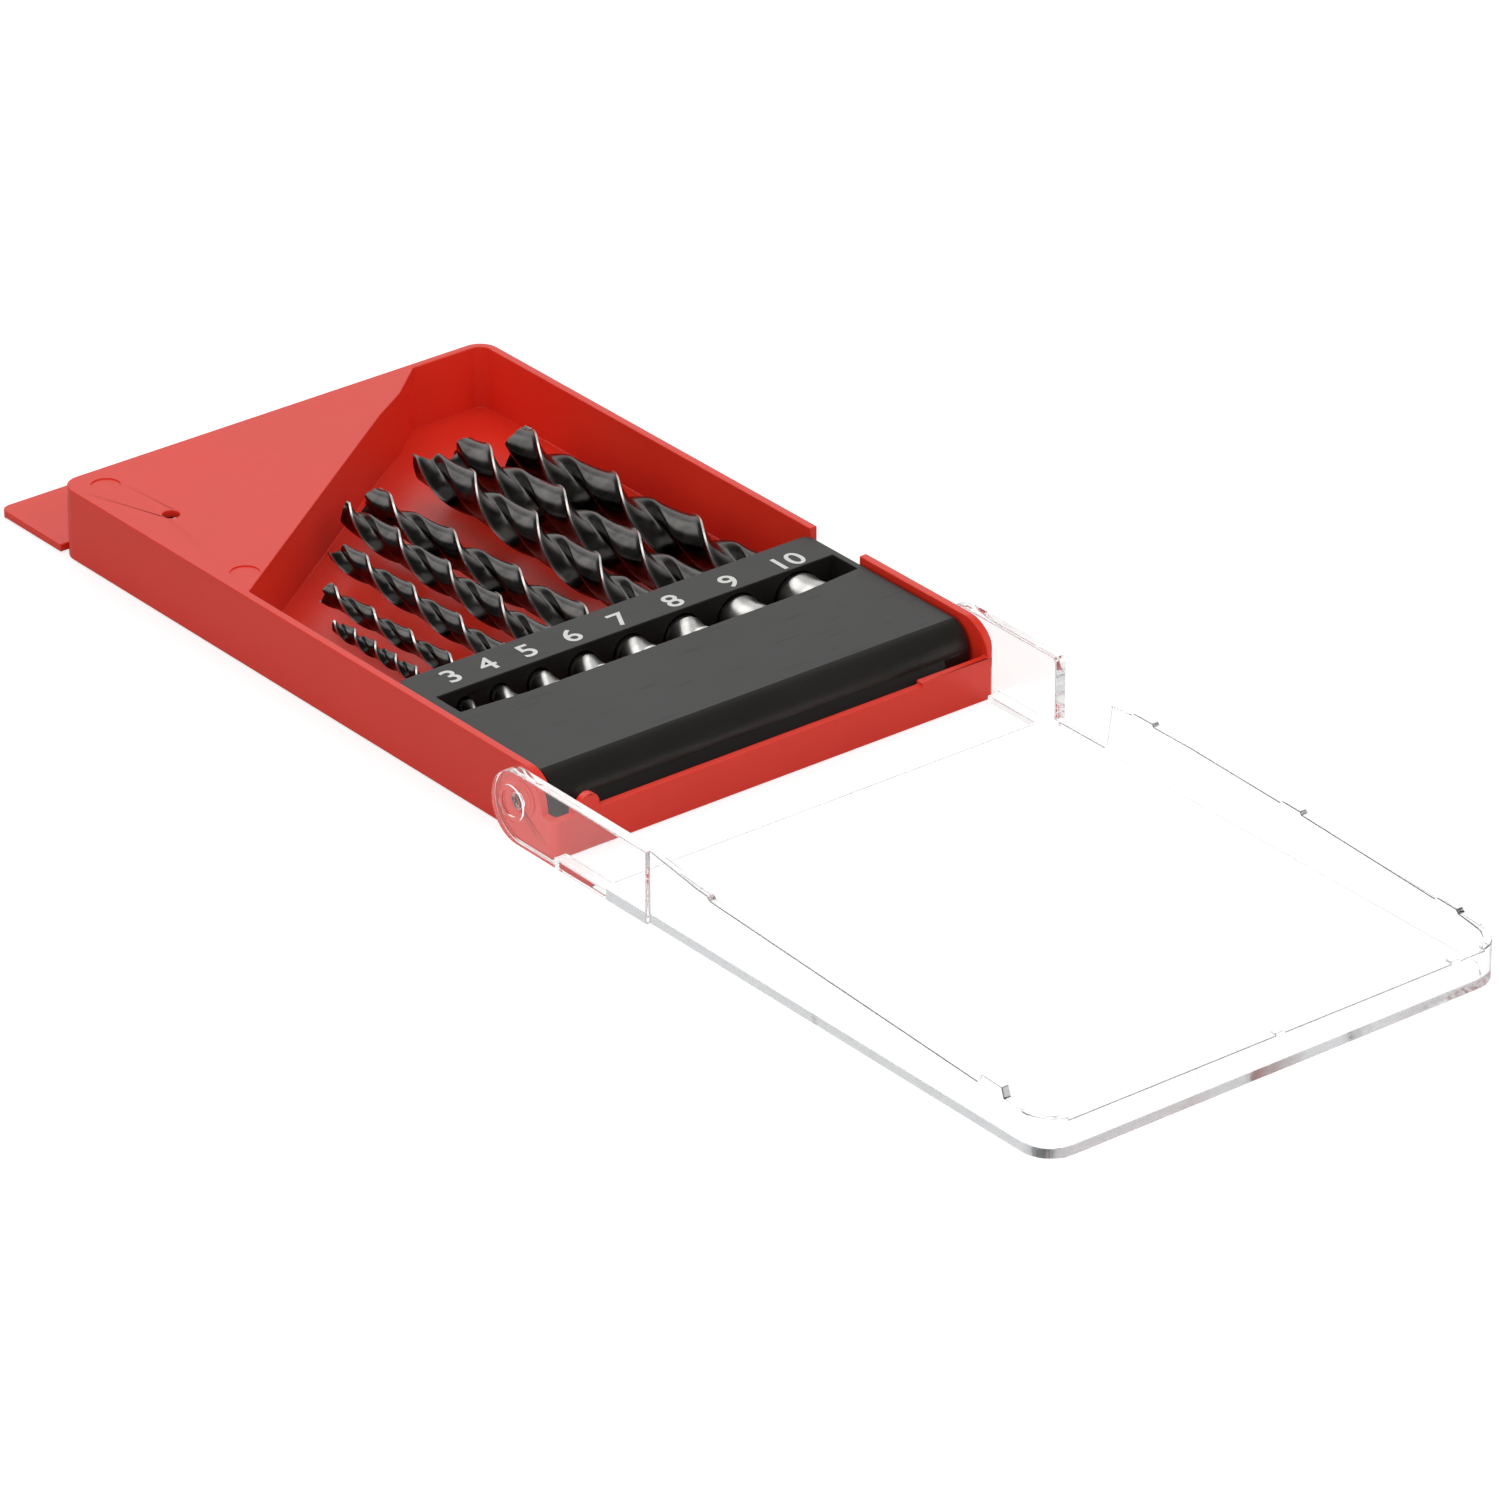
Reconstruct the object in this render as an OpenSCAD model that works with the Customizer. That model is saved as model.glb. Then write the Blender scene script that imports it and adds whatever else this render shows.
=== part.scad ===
// Drill bit case: red tray with a deck, clear lid drawn folded open,
// a tilting bit holder and eight brad-point bits. Lengths are millimetres.
// +X runs across the case from the smallest bit to the largest, +Y from
// the hinge to the bit tips, +Z up. The origin is the middle of the tray's
// underside, on the table.

/* [Tray] */
// Outer width of the tray
tray_w = 97; // [95:0.5:104]
// Outer length of the tray, without its tab
tray_l = 150; // [149:0.5:158]
// Height of the rim over the table
tray_h = 14.2; // [14:0.1:15.4]
// Thickness of the tray's walls
wall = 1.6; // [1.2:0.1:1.9]
// Thickness of the tray's floor
floor_t = 1.6; // [1.2:0.1:1.8]
// Plan radius of the two back corners
back_r = 4; // [3:0.5:6]
// Plan radius of the two front corners
front_r = 1.5; // [0.8:0.1:1.8]
// Height of the low front wall
front_h = 7.5; // [6.5:0.1:8]
// Radius that rounds the right wall down to the front wall
cheek_r = 7; // [5:0.5:7.5]
// Length of the thin tab behind the back wall
tab_l = 19.5; // [12:0.5:24]
// Thickness of the tab
tab_t = 1.5; // [1.2:0.1:2]

/* [Deck] */
// Thickness of the deck and of the slanted wall under its edge
deck_t = 1.5; // [1.2:0.1:2]
// How far the deck reaches forward along the left wall
deck_run = 57; // [50:0.5:58]
// How far the deck reaches to the right along the back wall
deck_reach = 80; // [70:0.5:84]
// Diameter of the hanging hole in the deck
hole_d = 3.2; // [2.6:0.1:4.5]
// Hanging hole's distance from the left outer face
hole_x = 8.6; // [7:0.1:14]
// Hanging hole's distance from the back outer face
hole_back = 23.3; // [16:0.1:28]

/* [Finger notch] */
// Notch start, from the front outer face
notch_y = 36.4; // [35:0.1:38]
// Width of the notch
notch_w = 14; // [10:0.5:16]
// Height left under the notch
notch_z = 5; // [4:0.1:8]

/* [Hinge] */
// Distance of the hinge axis from the tray's front outer face
axis_y = 10; // [9.6:0.1:10.6]
// Diameter of the lid's moulded hinge pins
pin_d = 3; // [2.4:0.1:3.6]
// Radial running clearance of the hinge pins
pin_fit = 0.05; // [0.02:0.01:0.09]
// Depth the lid's pins reach into the tray's hinge holes
pin_in = 1; // [0.8:0.1:1.2]
// Gap between the lid's pins and the holder's stubs, end to end
pin_gap = 0.1; // [0.1:0.05:0.3]
// Running gap between the tray's hinge bosses and the holder's sides
side_play = 0.2; // [0.1:0.05:0.3]

/* [Lid] */
// Thickness of the lid's plate
plate_t = 1.3; // [1:0.1:1.5]
// Thickness of the lid's walls
lid_wall = 1.6; // [1.2:0.1:2.2]
// Thickness of the lid's two hinge ears
ear_t = 2.4; // [2.2:0.1:3]
// Gap between lid walls and tray walls
lid_gap = 0.4; // [0.3:0.05:0.8]
// Gap between the closed lid's plate and the tray's rim
lid_over = 0.1; // [0.1:0.05:0.3]
// Plan radius of the lid's outer corners
lid_r = 6; // [4:0.5:8]
// Height of the lid's end wall
end_h = 7; // [6.6:0.1:8]
// Height of the lid's side walls at their outer end
side_low = 7.4; // [7:0.1:8.5]
// How far the open lid's side walls stay under the tray's rim
rim_drop = 0.2; // [0:0.05:0.5]
// Distance from the hinge axis to the plate's hinge-side edge
plate_back = 23.5; // [20:0.5:26]
// Height of the snap nib on the end wall
nib_t = 0.2; // [0.1:0.05:0.25]

/* [Bit holder] */
// Gap between the holder's sides and the tray's walls
rack_gap = 0.7; // [0.5:0.05:1]
// Height of the holder's flat top over the table
rack_top = 13.2; // [13:0.1:13.6]
// How far the holder's flat top reaches in front of the hinge axis
crease = 1.2; // [0.6:0.1:1.6]
// Gap under the holder's body
rack_lift = 0.3; // [0.2:0.05:0.4]
// Rear face of the holder's main block
block_y = 34.3; // [33:0.1:35]
// Width of the slot between block and number bar
slot_w = 6.9; // [5.5:0.1:8]
// How far the block's rear face sinks in between its ends
slot_bow = 1.2; // [0:0.1:1.6]
// Depth of the number bar
bar_w = 9.1; // [7:0.1:9.4]
// Side strip left of the slot
strip_l = 2.2; // [1.4:0.1:3]
// Side strip right of the slot
strip_r = 1.4; // [1.2:0.1:2]
// Tilt at which the holder's toe meets the floor
tilt_stop = 45; // [40:1:50]

/* [Bits] */
// Centre of the smallest bit, from the tray's left outer face
first_x = 10.4; // [9.5:0.1:11]
// Centre of the largest bit, from the tray's right outer face
last_x = 12.05; // [11.5:0.05:12.5]
// Height that sets the level of the bits
bit_z = 10.8; // [10.7:0.05:11]
// Radial clearance of a bit in the holder
bit_fit = 0.05; // [0.02:0.01:0.09]
// Distance of the sockets' floor from the front outer face
seat_y = 17.7; // [17:0.1:20]
// Length of the plain shank
shank_l = 26.5; // [24:0.5:30]
// Lead of the flutes, in bit diameters
lead = 4.9; // [4:0.1:6]
// How much smaller the flutes' radius is than the shank's
land_relief = 0.04; // [0.02:0.01:0.05]

/* [Hidden] */
$fn = 64;

// Hinge axis height: midway between the open and the closed plate.
axis_z = (tray_h + lid_over + plate_t) / 2;
hinge_out = lid_gap + ear_t;
side_high = tray_h - rim_drop;
ear_r = side_high / 2;

// Holder, from the tray.
rack_x = wall + rack_gap;
rack_w = tray_w - 2 * rack_x;
rack_z = floor_t + rack_lift;
drum_r = norm([rack_top - axis_z, crease]);
bar_y = block_y + slot_w;
boss_h = rack_gap - side_play;
toe_d = axis_z - floor_t - 0.05;
toe_r = 7.2;

// Bits: diameter, overall length, pitch, and how far each loosely held
// tip leans to the right, as a share of the web between two bits.
bit_d = [3, 4, 5, 6, 7, 8, 9, 10];
bit_len = [61, 75, 84.5, 96, 100.5, 104.5, 107, 104];
bit_pitch = [0.6, -0.5, 0.9, 0.9, 0.1, 1.2, 0.4, 0];
bit_lean = [-0.05, 0, 0.3, 0.51, -0.2, 0.85, 0, -0.83];
pivot_y = 38;

// Width from the first bit's centre to bit i's, without the webs.
function spread(i) = i == 0 ? 0
    : spread(i - 1) + (bit_d[i - 1] + bit_d[i]) / 2;
web = (tray_w - first_x - last_x - spread(7)) / 7;
function socket_x(i) = first_x + spread(i) + i * web;
function socket_z(i) = bit_z - 0.35 * bit_d[i];
function bit_yaw(i) = atan(bit_lean[i] * web / (seat_y + bit_len[i] - pivot_y));

// Moves a node from the tray's front left corner to the shared frame.
module placed() {
    translate([-tray_w / 2, -tray_l / 2, 0]) children();
}

// Upright block with rounded front and back plan corners.
module block4(w, l, h, rf, rb) {
    translate([rf, 0, 0]) cube([w - 2 * rf, l / 2, h]);
    translate([rb, l / 2, 0]) cube([w - 2 * rb, l / 2, h]);
    translate([0, rf, 0]) cube([w, l - rf - rb, h]);
    for (x = [rf, w - rf]) translate([x, rf, 0]) cylinder(r = rf, h = h);
    for (x = [rb, w - rb]) {
        translate([x, l - rb, 0]) cylinder(r = rb, h = h);
    }
}

// Prism along X from x0, w wide, over a (y, z) outline.
module along_x(x0, w, outline) {
    translate([x0, 0, 0]) rotate([90, 0, 90]) {
        linear_extrude(height = w) polygon(outline);
    }
}

// Round bar or hole along X.
module rod_x(x0, w, y, z, r) {
    translate([x0, y, z]) rotate([0, 90, 0]) cylinder(r = r, h = w);
}

// ---------------------------------------------------------------- tray

// Plan of the deck, grown past the walls; d moves its slanted edge back.
module deck_plan(d) {
    b = tray_l;
    x1 = deck_reach - 17.5;
    x2 = deck_reach - 9.1;
    rise = (deck_run - 13.9) / (x1 - wall);
    translate([-0.6 * d, 0.83 * d, 0]) polygon([
        [-2 * wall, b - deck_run - 3 * wall * rise],
        [x1, b - 13.9], [x2, b - 8.7], [deck_reach, b - 1],
        [deck_reach, b + 9], [-2 * wall, b + 9]]);
}

// Inside plan of the tray as a block of height h.
module inside(h) {
    translate([wall, wall, 0]) {
        block4(tray_w - 2 * wall, tray_l - 2 * wall, h,
               0.4, back_r - wall);
    }
}

// What the front ends of the long walls lose: the right one keeps a
// rounded corner, the left one is round about the hinge axis.
module cheek_cut() {
    difference() {
        translate([tray_w / 2, -1, tray_h - cheek_r]) {
            cube([tray_w, cheek_r + 1, cheek_r + 1]);
        }
        rod_x(0, 2 * tray_w, cheek_r, tray_h - cheek_r, cheek_r);
    }
    round_r = tray_h - axis_z;
    difference() {
        translate([-1, -1, front_h]) cube([wall + 2, axis_y + 1, tray_h]);
        rod_x(-2, wall + 4, axis_y, axis_z, round_r);
        translate([-2, axis_y - round_r, 0]) {
            cube([wall + 4, round_r, axis_z]);
        }
    }
    translate([wall, -1, front_h]) {
        cube([tray_w - 2 * wall, wall + 1.2, tray_h]);
    }
}

// Bosses that stiffen the hinge holes on the inside of the long walls.
module hinge_bosses() {
    for (x = [wall - 0.2, tray_w - wall - boss_h]) {
        rod_x(x, boss_h + 0.2, axis_y, axis_z, pin_d / 2 + 1.6);
    }
}

// Low front wall's step on the right and its rounded nub on the left.
module front_details() {
    translate([tray_w - wall - 15.2, 0, front_h - 1]) {
        cube([15.2 + wall / 2, wall, 1.8]);
    }
    translate([4.3, 0, front_h - 1]) cube([4.3, wall, 2]);
    translate([6.45, wall, front_h + 1]) rotate([90, 0, 0]) {
        cylinder(r = 2.15, h = wall);
    }
}

// Tray with its deck, cavity, notch, holes and hinge bosses.
module tray_body() {
    difference() {
        block4(tray_w, tray_l, tray_h, front_r, back_r);
        cheek_cut();
        // main cavity, everything in front of the deck
        difference() {
            translate([0, 0, floor_t]) inside(tray_h);
            linear_extrude(height = tray_h + 9) deck_plan(0);
        }
        // hollow under the deck, open to the table
        intersection() {
            translate([0, 0, -1]) inside(tray_h + 1 - deck_t);
            translate([0, 0, -2]) {
                linear_extrude(height = tray_h + 9) deck_plan(deck_t);
            }
        }
        // finger notch in the right wall
        translate([tray_w - 2 * wall, notch_y, notch_z]) {
            cube([3 * wall, notch_w, tray_h]);
        }
        // hanging hole and two shallow ejector marks
        translate([hole_x, tray_l - hole_back, 0]) {
            cylinder(d = hole_d, h = tray_h + 1);
        }
        for (p = [[6.2, 6.2], [5.4, 50.5]]) {
            translate([p[0], tray_l - p[1], tray_h - 0.2]) {
                cylinder(r = 2.8, h = 1);
            }
        }
    }
    hinge_bosses();
}

module tray() {
    color([0.80, 0.20, 0.15]) placed() {
        difference() {
            tray_body();
            // hinge holes through both long walls and their bosses
            rod_x(-1, tray_w + 2, axis_y, axis_z, pin_d / 2 + pin_fit);
        }
        front_details();
        // thin tab on the table behind the back wall
        translate([0, tray_l - back_r - 1, 0]) difference() {
            block4(tray_w, tab_l + back_r + 1, tab_t, 0.4, 2);
            translate([-1, -1, -1]) cube([tray_w + 2, 2 + back_r, 9]);
        }
    }
}

// ----------------------------------------------------------------- lid

// Open, the lid lies on its plate: closed y and z turn over the axis.
lid_end = 2 * axis_y - tray_l - lid_gap - lid_wall;
lid_x = -lid_gap - lid_wall;
lid_w = tray_w - 2 * lid_x;
plate_end = axis_y - plate_back;

// Side wall outline on the left, from the outer end to the ear.
function left_side() = [
    [lid_end, 0], [axis_y - 0.9, 0], [axis_y - 0.9, side_high],
    [-28, side_high], [-40, side_high - 1.7], [-43, side_high - 1.9],
    [-44, side_high - 2.6], [-114.6, side_low + 0.8],
    [-115.2, side_low + 2.6], [-120.8, side_low + 2.4],
    [-121.4, side_low + 0.6], [lid_end, side_low]];

// Side wall outline on the right, low where the tray has its notch.
function right_side() = [
    [lid_end, 0], [axis_y - 0.9, 0], [axis_y - 0.9, side_high],
    [-14.6, side_high], [-15.6, side_high - 0.5], [-16, side_high - 1.4],
    [-16, 2], [-29.5, 2], [-30.8, side_high - 3.1],
    [-36.6, side_high - 2.7], [-37, side_high - 2.2],
    [-42, side_high - 2.2], [-42.4, side_high - 2.7],
    [-52, side_high - 2.7], [-75.8, side_high - 3.5],
    [-76.2, side_high - 3], [-81, side_high - 3.1],
    [-81.4, side_high - 3.6], [-115.6, side_low + 1.3],
    [-116, side_low + 1.8], [-121, side_low + 1.6],
    [-121.4, side_low + 1], [-128, side_low + 0.1],
    [lid_end, side_low]];

// Wall band of the lid, cut down to the side outlines.
module lid_band() {
    intersection() {
        difference() {
            translate([lid_x, lid_end, 0]) {
                block4(lid_w, 60 - lid_end, side_high, lid_r, 0.4);
            }
            translate([-lid_gap, lid_end + lid_wall, -1]) {
                block4(tray_w + 2 * lid_gap, 80 - lid_end, side_high + 2,
                       lid_r - lid_wall, 0.4);
            }
            // the end wall is lower than the sides
            translate([lid_r / 2, lid_end - 1, end_h]) {
                cube([tray_w - lid_r, 8, side_high]);
            }
        }
        union() {
            along_x(lid_x - 1, tray_w / 2, left_side());
            along_x(tray_w / 2, tray_w, right_side());
            along_x(lid_x - 1, tray_w + 9, [[lid_end - 1, 0],
                    [lid_end + 5, 0], [lid_end + 5, end_h],
                    [lid_end - 1, end_h]]);
        }
    }
}

// One hinge ear: thicker wall end, rounded about its own centre.
module ear(x0, from_y) {
    cy = axis_y - 0.9;
    translate([x0, from_y, 0]) cube([ear_t, cy - from_y, 2 * ear_r]);
    rod_x(x0, ear_t, cy, ear_r, ear_r);
}

module lid() {
    color([0.85, 0.87, 0.88, 0.45]) placed() {
        // plate with its two side flanges beside the hinge
        difference() {
            translate([lid_x, lid_end, 0]) {
                block4(lid_w, plate_end - lid_end, plate_t, lid_r, 0.4);
            }
            translate([-hinge_out - 1, plate_end - 1, -1]) {
                cube([1, 9, 9]);
            }
        }
        for (x = [-hinge_out, tray_w - 2.2]) {
            translate([x, plate_end - 1, 0]) {
                cube([hinge_out + 2.2, 0.5 - axis_y + plate_back, plate_t]);
            }
        }
        lid_band();
        difference() {
            union() {
                ear(-hinge_out, -27.5);
                ear(tray_w + lid_gap, -16);
            }
            // rounded shoulder at the right ear's outer end
            translate([0, -17, side_high - 0.6]) cube([tray_w + 9, 1.5, 9]);
        }
        // raised rings around the pivots
        for (x = [-hinge_out - 0.4, tray_w + hinge_out - 0.1]) {
            difference() {
                rod_x(x, 0.5, axis_y, axis_z, 3.4);
                rod_x(x - 1, 3, axis_y, axis_z, 2.5);
            }
        }
        // hinge pins
        reach = lid_gap + pin_in + 0.5;
        for (x = [-lid_gap - 0.5, tray_w - pin_in]) {
            rod_x(x, reach, axis_y, axis_z, pin_d / 2);
        }
        // snap nib and two small bumps on the end wall
        translate([31.2, lid_end + lid_wall - 0.5, 4.2]) {
            cube([10, 0.5 + nib_t, 2]);
        }
        for (x = [47.5, 86.5]) {
            translate([x, lid_end, end_h - 1]) cube([2.2, lid_wall, 1.5]);
        }
    }
}

// ---------------------------------------------------------------- rack

// Places children along the axis of bit i, z along the bit.
module on_bit(i) {
    translate([socket_x(i), pivot_y, socket_z(i)]) {
        rotate([0, 0, -bit_yaw(i)]) rotate([bit_pitch[i] - 90, 0, 0]) {
            translate([0, 0, seat_y - pivot_y]) children();
        }
    }
}

// Toe under the drum: its flat lies on the floor at the tilt stop.
module toe() {
    a = 270 - tilt_stop;
    half = acos(toe_d / toe_r);
    function at(r, t) = [axis_y + r * cos(t), axis_z + r * sin(t)];
    along_x(rack_x + 6, rack_w - 12, [
        at(drum_r - 0.2, a - half - 22), at(toe_r, a - half),
        at(toe_d, a), at(drum_r - 0.2, a + 14), at(drum_r - 2, a)]);
}

// Slot between block and bar; the block's rear face sinks in a little.
module slot() {
    x0 = rack_x + strip_l;
    x1 = rack_x + rack_w - strip_r;
    linear_extrude(height = 30) polygon([
        [x0, block_y], [x0 + 14, block_y - slot_bow],
        [x1 - 14, block_y - slot_bow], [x1, block_y],
        [x1, bar_y], [x0, bar_y]]);
}

module rack() {
    color([0.16, 0.16, 0.16]) placed() difference() {
        union() {
            difference() {
                rod_x(rack_x, rack_w, axis_y, axis_z, drum_r);
                translate([0, 0, rack_top]) cube([tray_w, 40, 9]);
            }
            translate([rack_x, axis_y, rack_z]) {
                cube([rack_w, bar_y - axis_y + 1, rack_top - rack_z]);
            }
            translate([rack_x, bar_y, rack_z]) {
                block4(rack_w, bar_w, rack_top - rack_z, 0.4, 2);
            }
            // pads that rest on the floor, under the bar
            for (x = [rack_x + 4, rack_x + rack_w / 2 - 4,
                      rack_x + rack_w - 12]) {
                translate([x, bar_y + 2, floor_t]) cube([8, 4, 1]);
            }
            toe();
            // pivot stubs, in line with the lid's pins
            stub = rack_x - pin_in - pin_gap;
            for (x = [rack_x - stub, rack_x + rack_w - 1]) {
                rod_x(x, stub + 1, axis_y, axis_z, pin_d / 2);
            }
        }
        slot();
        // bit sockets, through the bar and into the block
        for (i = [0 : 7]) {
            on_bit(i) cylinder(d = bit_d[i] + 2 * bit_fit, h = 60);
        }
    }
}

// ---------------------------------------------------------------- bits

// Cross-section of a two-flute bit of radius 1: land, lip, flute, heel.
function half_section(a) = [
    for (p = [[-26, 1], [-12, 1], [3, 1], [16, 1], [24, 0.78],
              [44, 0.46], [76, 0.34], [106, 0.44], [134, 0.78]])
        [p[1] * cos(p[0] + a), p[1] * sin(p[0] + a)]];

module section(r) {
    scale([r, r]) polygon(concat(half_section(0), half_section(180)));
}

// One bit along z from its shank end, tip up: plain shank, twisted
// flutes of constant lead, two outer spurs and a centre point.
module brad_bit(i) {
    d = bit_d[i];
    r = d / 2;
    tip = 0.42 * d;
    body = bit_len[i] - tip;
    flute = body - shank_l;
    turn = 360 * flute / (lead * d);
    translate([0, 0, 0.3]) {
        cylinder(r = r, h = shank_l);
        translate([0, 0, shank_l - 0.2]) {
            linear_extrude(height = flute + 0.2, twist = -turn,
                           segments = 18, slices = ceil(turn / 30)) {
                section(r - land_relief);
            }
        }
        translate([0, 0, body - 0.2]) rotate([0, 0, turn]) {
            linear_extrude(height = 0.16 * d + 0.2) difference() {
                section(0.95 * r);
                circle(r = 0.76 * r);
            }
        }
        translate([0, 0, body - 0.2]) {
            cylinder(r1 = 0.3 * r, r2 = 0.05 * r, h = tip + 0.2);
        }
    }
}

module bit(i) {
    color([0.12, 0.12, 0.12]) placed() on_bit(i) brad_bit(i);
}

module bit_3mm() { bit(0); }
module bit_4mm() { bit(1); }
module bit_5mm() { bit(2); }
module bit_6mm() { bit(3); }
module bit_7mm() { bit(4); }
module bit_8mm() { bit(5); }
module bit_9mm() { bit(6); }
module bit_10mm() { bit(7); }

tray();
lid();
rack();
bit_3mm();
bit_4mm();
bit_5mm();
bit_6mm();
bit_7mm();
bit_8mm();
bit_9mm();
bit_10mm();
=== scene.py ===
"""Drill bit case, dressed for rendering.

A red moulded tray, a clear lid folded open, a black tilting bit holder
and eight brad-point bits. All lengths are metres in the case's own
frame: +X from the smallest bit to the largest, +Y from the hinge to the
bit tips, +Z up, with the origin in the middle of the tray's underside.
"""

import logging
import math
from dataclasses import dataclass, field
from enum import Enum
from typing import Sequence

import bmesh
import bpy
from mathutils import Matrix, Vector


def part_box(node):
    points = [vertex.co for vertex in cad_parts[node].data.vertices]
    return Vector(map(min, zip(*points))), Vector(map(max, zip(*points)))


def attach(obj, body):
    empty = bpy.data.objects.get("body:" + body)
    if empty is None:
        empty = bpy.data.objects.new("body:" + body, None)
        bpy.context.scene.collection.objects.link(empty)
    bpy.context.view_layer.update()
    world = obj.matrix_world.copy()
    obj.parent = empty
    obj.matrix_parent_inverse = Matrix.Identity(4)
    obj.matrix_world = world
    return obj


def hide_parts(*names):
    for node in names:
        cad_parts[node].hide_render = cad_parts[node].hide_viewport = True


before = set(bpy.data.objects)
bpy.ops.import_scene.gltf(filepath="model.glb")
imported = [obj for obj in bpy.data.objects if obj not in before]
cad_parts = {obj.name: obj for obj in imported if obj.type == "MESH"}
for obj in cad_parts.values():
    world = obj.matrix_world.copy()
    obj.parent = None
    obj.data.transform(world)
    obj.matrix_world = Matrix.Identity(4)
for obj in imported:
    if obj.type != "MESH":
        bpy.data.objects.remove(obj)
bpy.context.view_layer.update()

LOG = logging.getLogger("drill_bit_case")
MM = 0.001
# Corners closer than this are one corner.
WELD = 0.001 * MM


# ------------------------------------------------------------- finishes


def linear(red: int, green: int, blue: int) -> tuple[float, float, float, float]:
    """Turns an 8-bit screen colour into a linear colour.

    Args:
        red: Red, 0 to 255.
        green: Green, 0 to 255.
        blue: Blue, 0 to 255.

    Returns:
        Linear red, green, blue and an alpha of 1.
    """

    def one(value: int) -> float:
        """Decodes one channel."""
        c = value / 255
        return c / 12.92 if c <= 0.04045 else ((c + 0.055) / 1.055) ** 2.4

    return one(red), one(green), one(blue), 1.0


def scaled(
    colour: tuple[float, float, float, float], factor: float
) -> tuple[float, float, float, float]:
    """Lightens or darkens a linear colour.

    Args:
        colour: Linear colour with alpha.
        factor: Share of its light that is kept.

    Returns:
        The new colour, with an alpha of 1.
    """
    red, green, blue, _ = colour
    return factor * red, factor * green, factor * blue, 1.0


class Graph:
    """Small helper that builds a node tree from left to right."""

    def __init__(self, tree: bpy.types.NodeTree) -> None:
        """Wraps a node tree."""
        self.tree = tree

    def node(self, kind: str, **values: object) -> bpy.types.Node:
        """Adds a node and sets its properties.

        Args:
            kind: Node type, such as ShaderNodeMath.
            **values: Properties of the node itself.

        Returns:
            The new node.
        """
        made = self.tree.nodes.new(kind)
        for name, value in values.items():
            setattr(made, name, value)
        return made

    def feed(self, target: bpy.types.NodeSocket, value: object) -> None:
        """Links a socket, or sets its plain value.

        Args:
            target: Input socket.
            value: Output socket, or a number, vector or colour.
        """
        if isinstance(value, bpy.types.NodeSocket):
            self.tree.links.new(value, target)
        else:
            target.default_value = value

    def math(self, operation: str, *values: object) -> bpy.types.NodeSocket:
        """Adds a math node.

        Args:
            operation: Name of the operation, such as MULTIPLY.
            *values: Its inputs in order.

        Returns:
            The result's socket.
        """
        made = self.node("ShaderNodeMath", operation=operation)
        for socket, value in zip(made.inputs, values):
            self.feed(socket, value)
        return made.outputs[0]

    def noise(
        self, place: bpy.types.NodeSocket, scale: object, detail: float = 3.0
    ) -> bpy.types.NodeSocket:
        """Adds a noise texture.

        Args:
            place: Coordinates to read.
            scale: Scale per metre.
            detail: Octaves.

        Returns:
            The factor's socket.
        """
        made = self.node("ShaderNodeTexNoise")
        self.feed(made.inputs["Vector"], place)
        self.feed(made.inputs["Scale"], scale)
        made.inputs["Detail"].default_value = detail
        return made.outputs["Fac"]

    def span(
        self, value: object, low: float, high: float, to_low: float, to_high: float
    ) -> bpy.types.NodeSocket:
        """Maps a value from one range to another, clamped.

        Args:
            value: Socket to map.
            low: Start of the source range.
            high: End of the source range.
            to_low: Result at low.
            to_high: Result at high.

        Returns:
            The mapped value's socket.
        """
        made = self.node("ShaderNodeMapRange")
        for name, part in (
            ("Value", value),
            ("From Min", low),
            ("From Max", high),
            ("To Min", to_low),
            ("To Max", to_high),
        ):
            self.feed(made.inputs[name], part)
        return made.outputs["Result"]

    def blend_colour(
        self, amount: object, first: object, second: object
    ) -> bpy.types.NodeSocket:
        """Mixes two colours.

        Args:
            amount: 0 for the first, 1 for the second.
            first: First colour.
            second: Second colour.

        Returns:
            The mixed colour's socket.
        """
        made = self.node("ShaderNodeMix", data_type="RGBA")
        self.feed(made.inputs[0], amount)
        self.feed(made.inputs[6], first)
        self.feed(made.inputs[7], second)
        return made.outputs[2]


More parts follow.
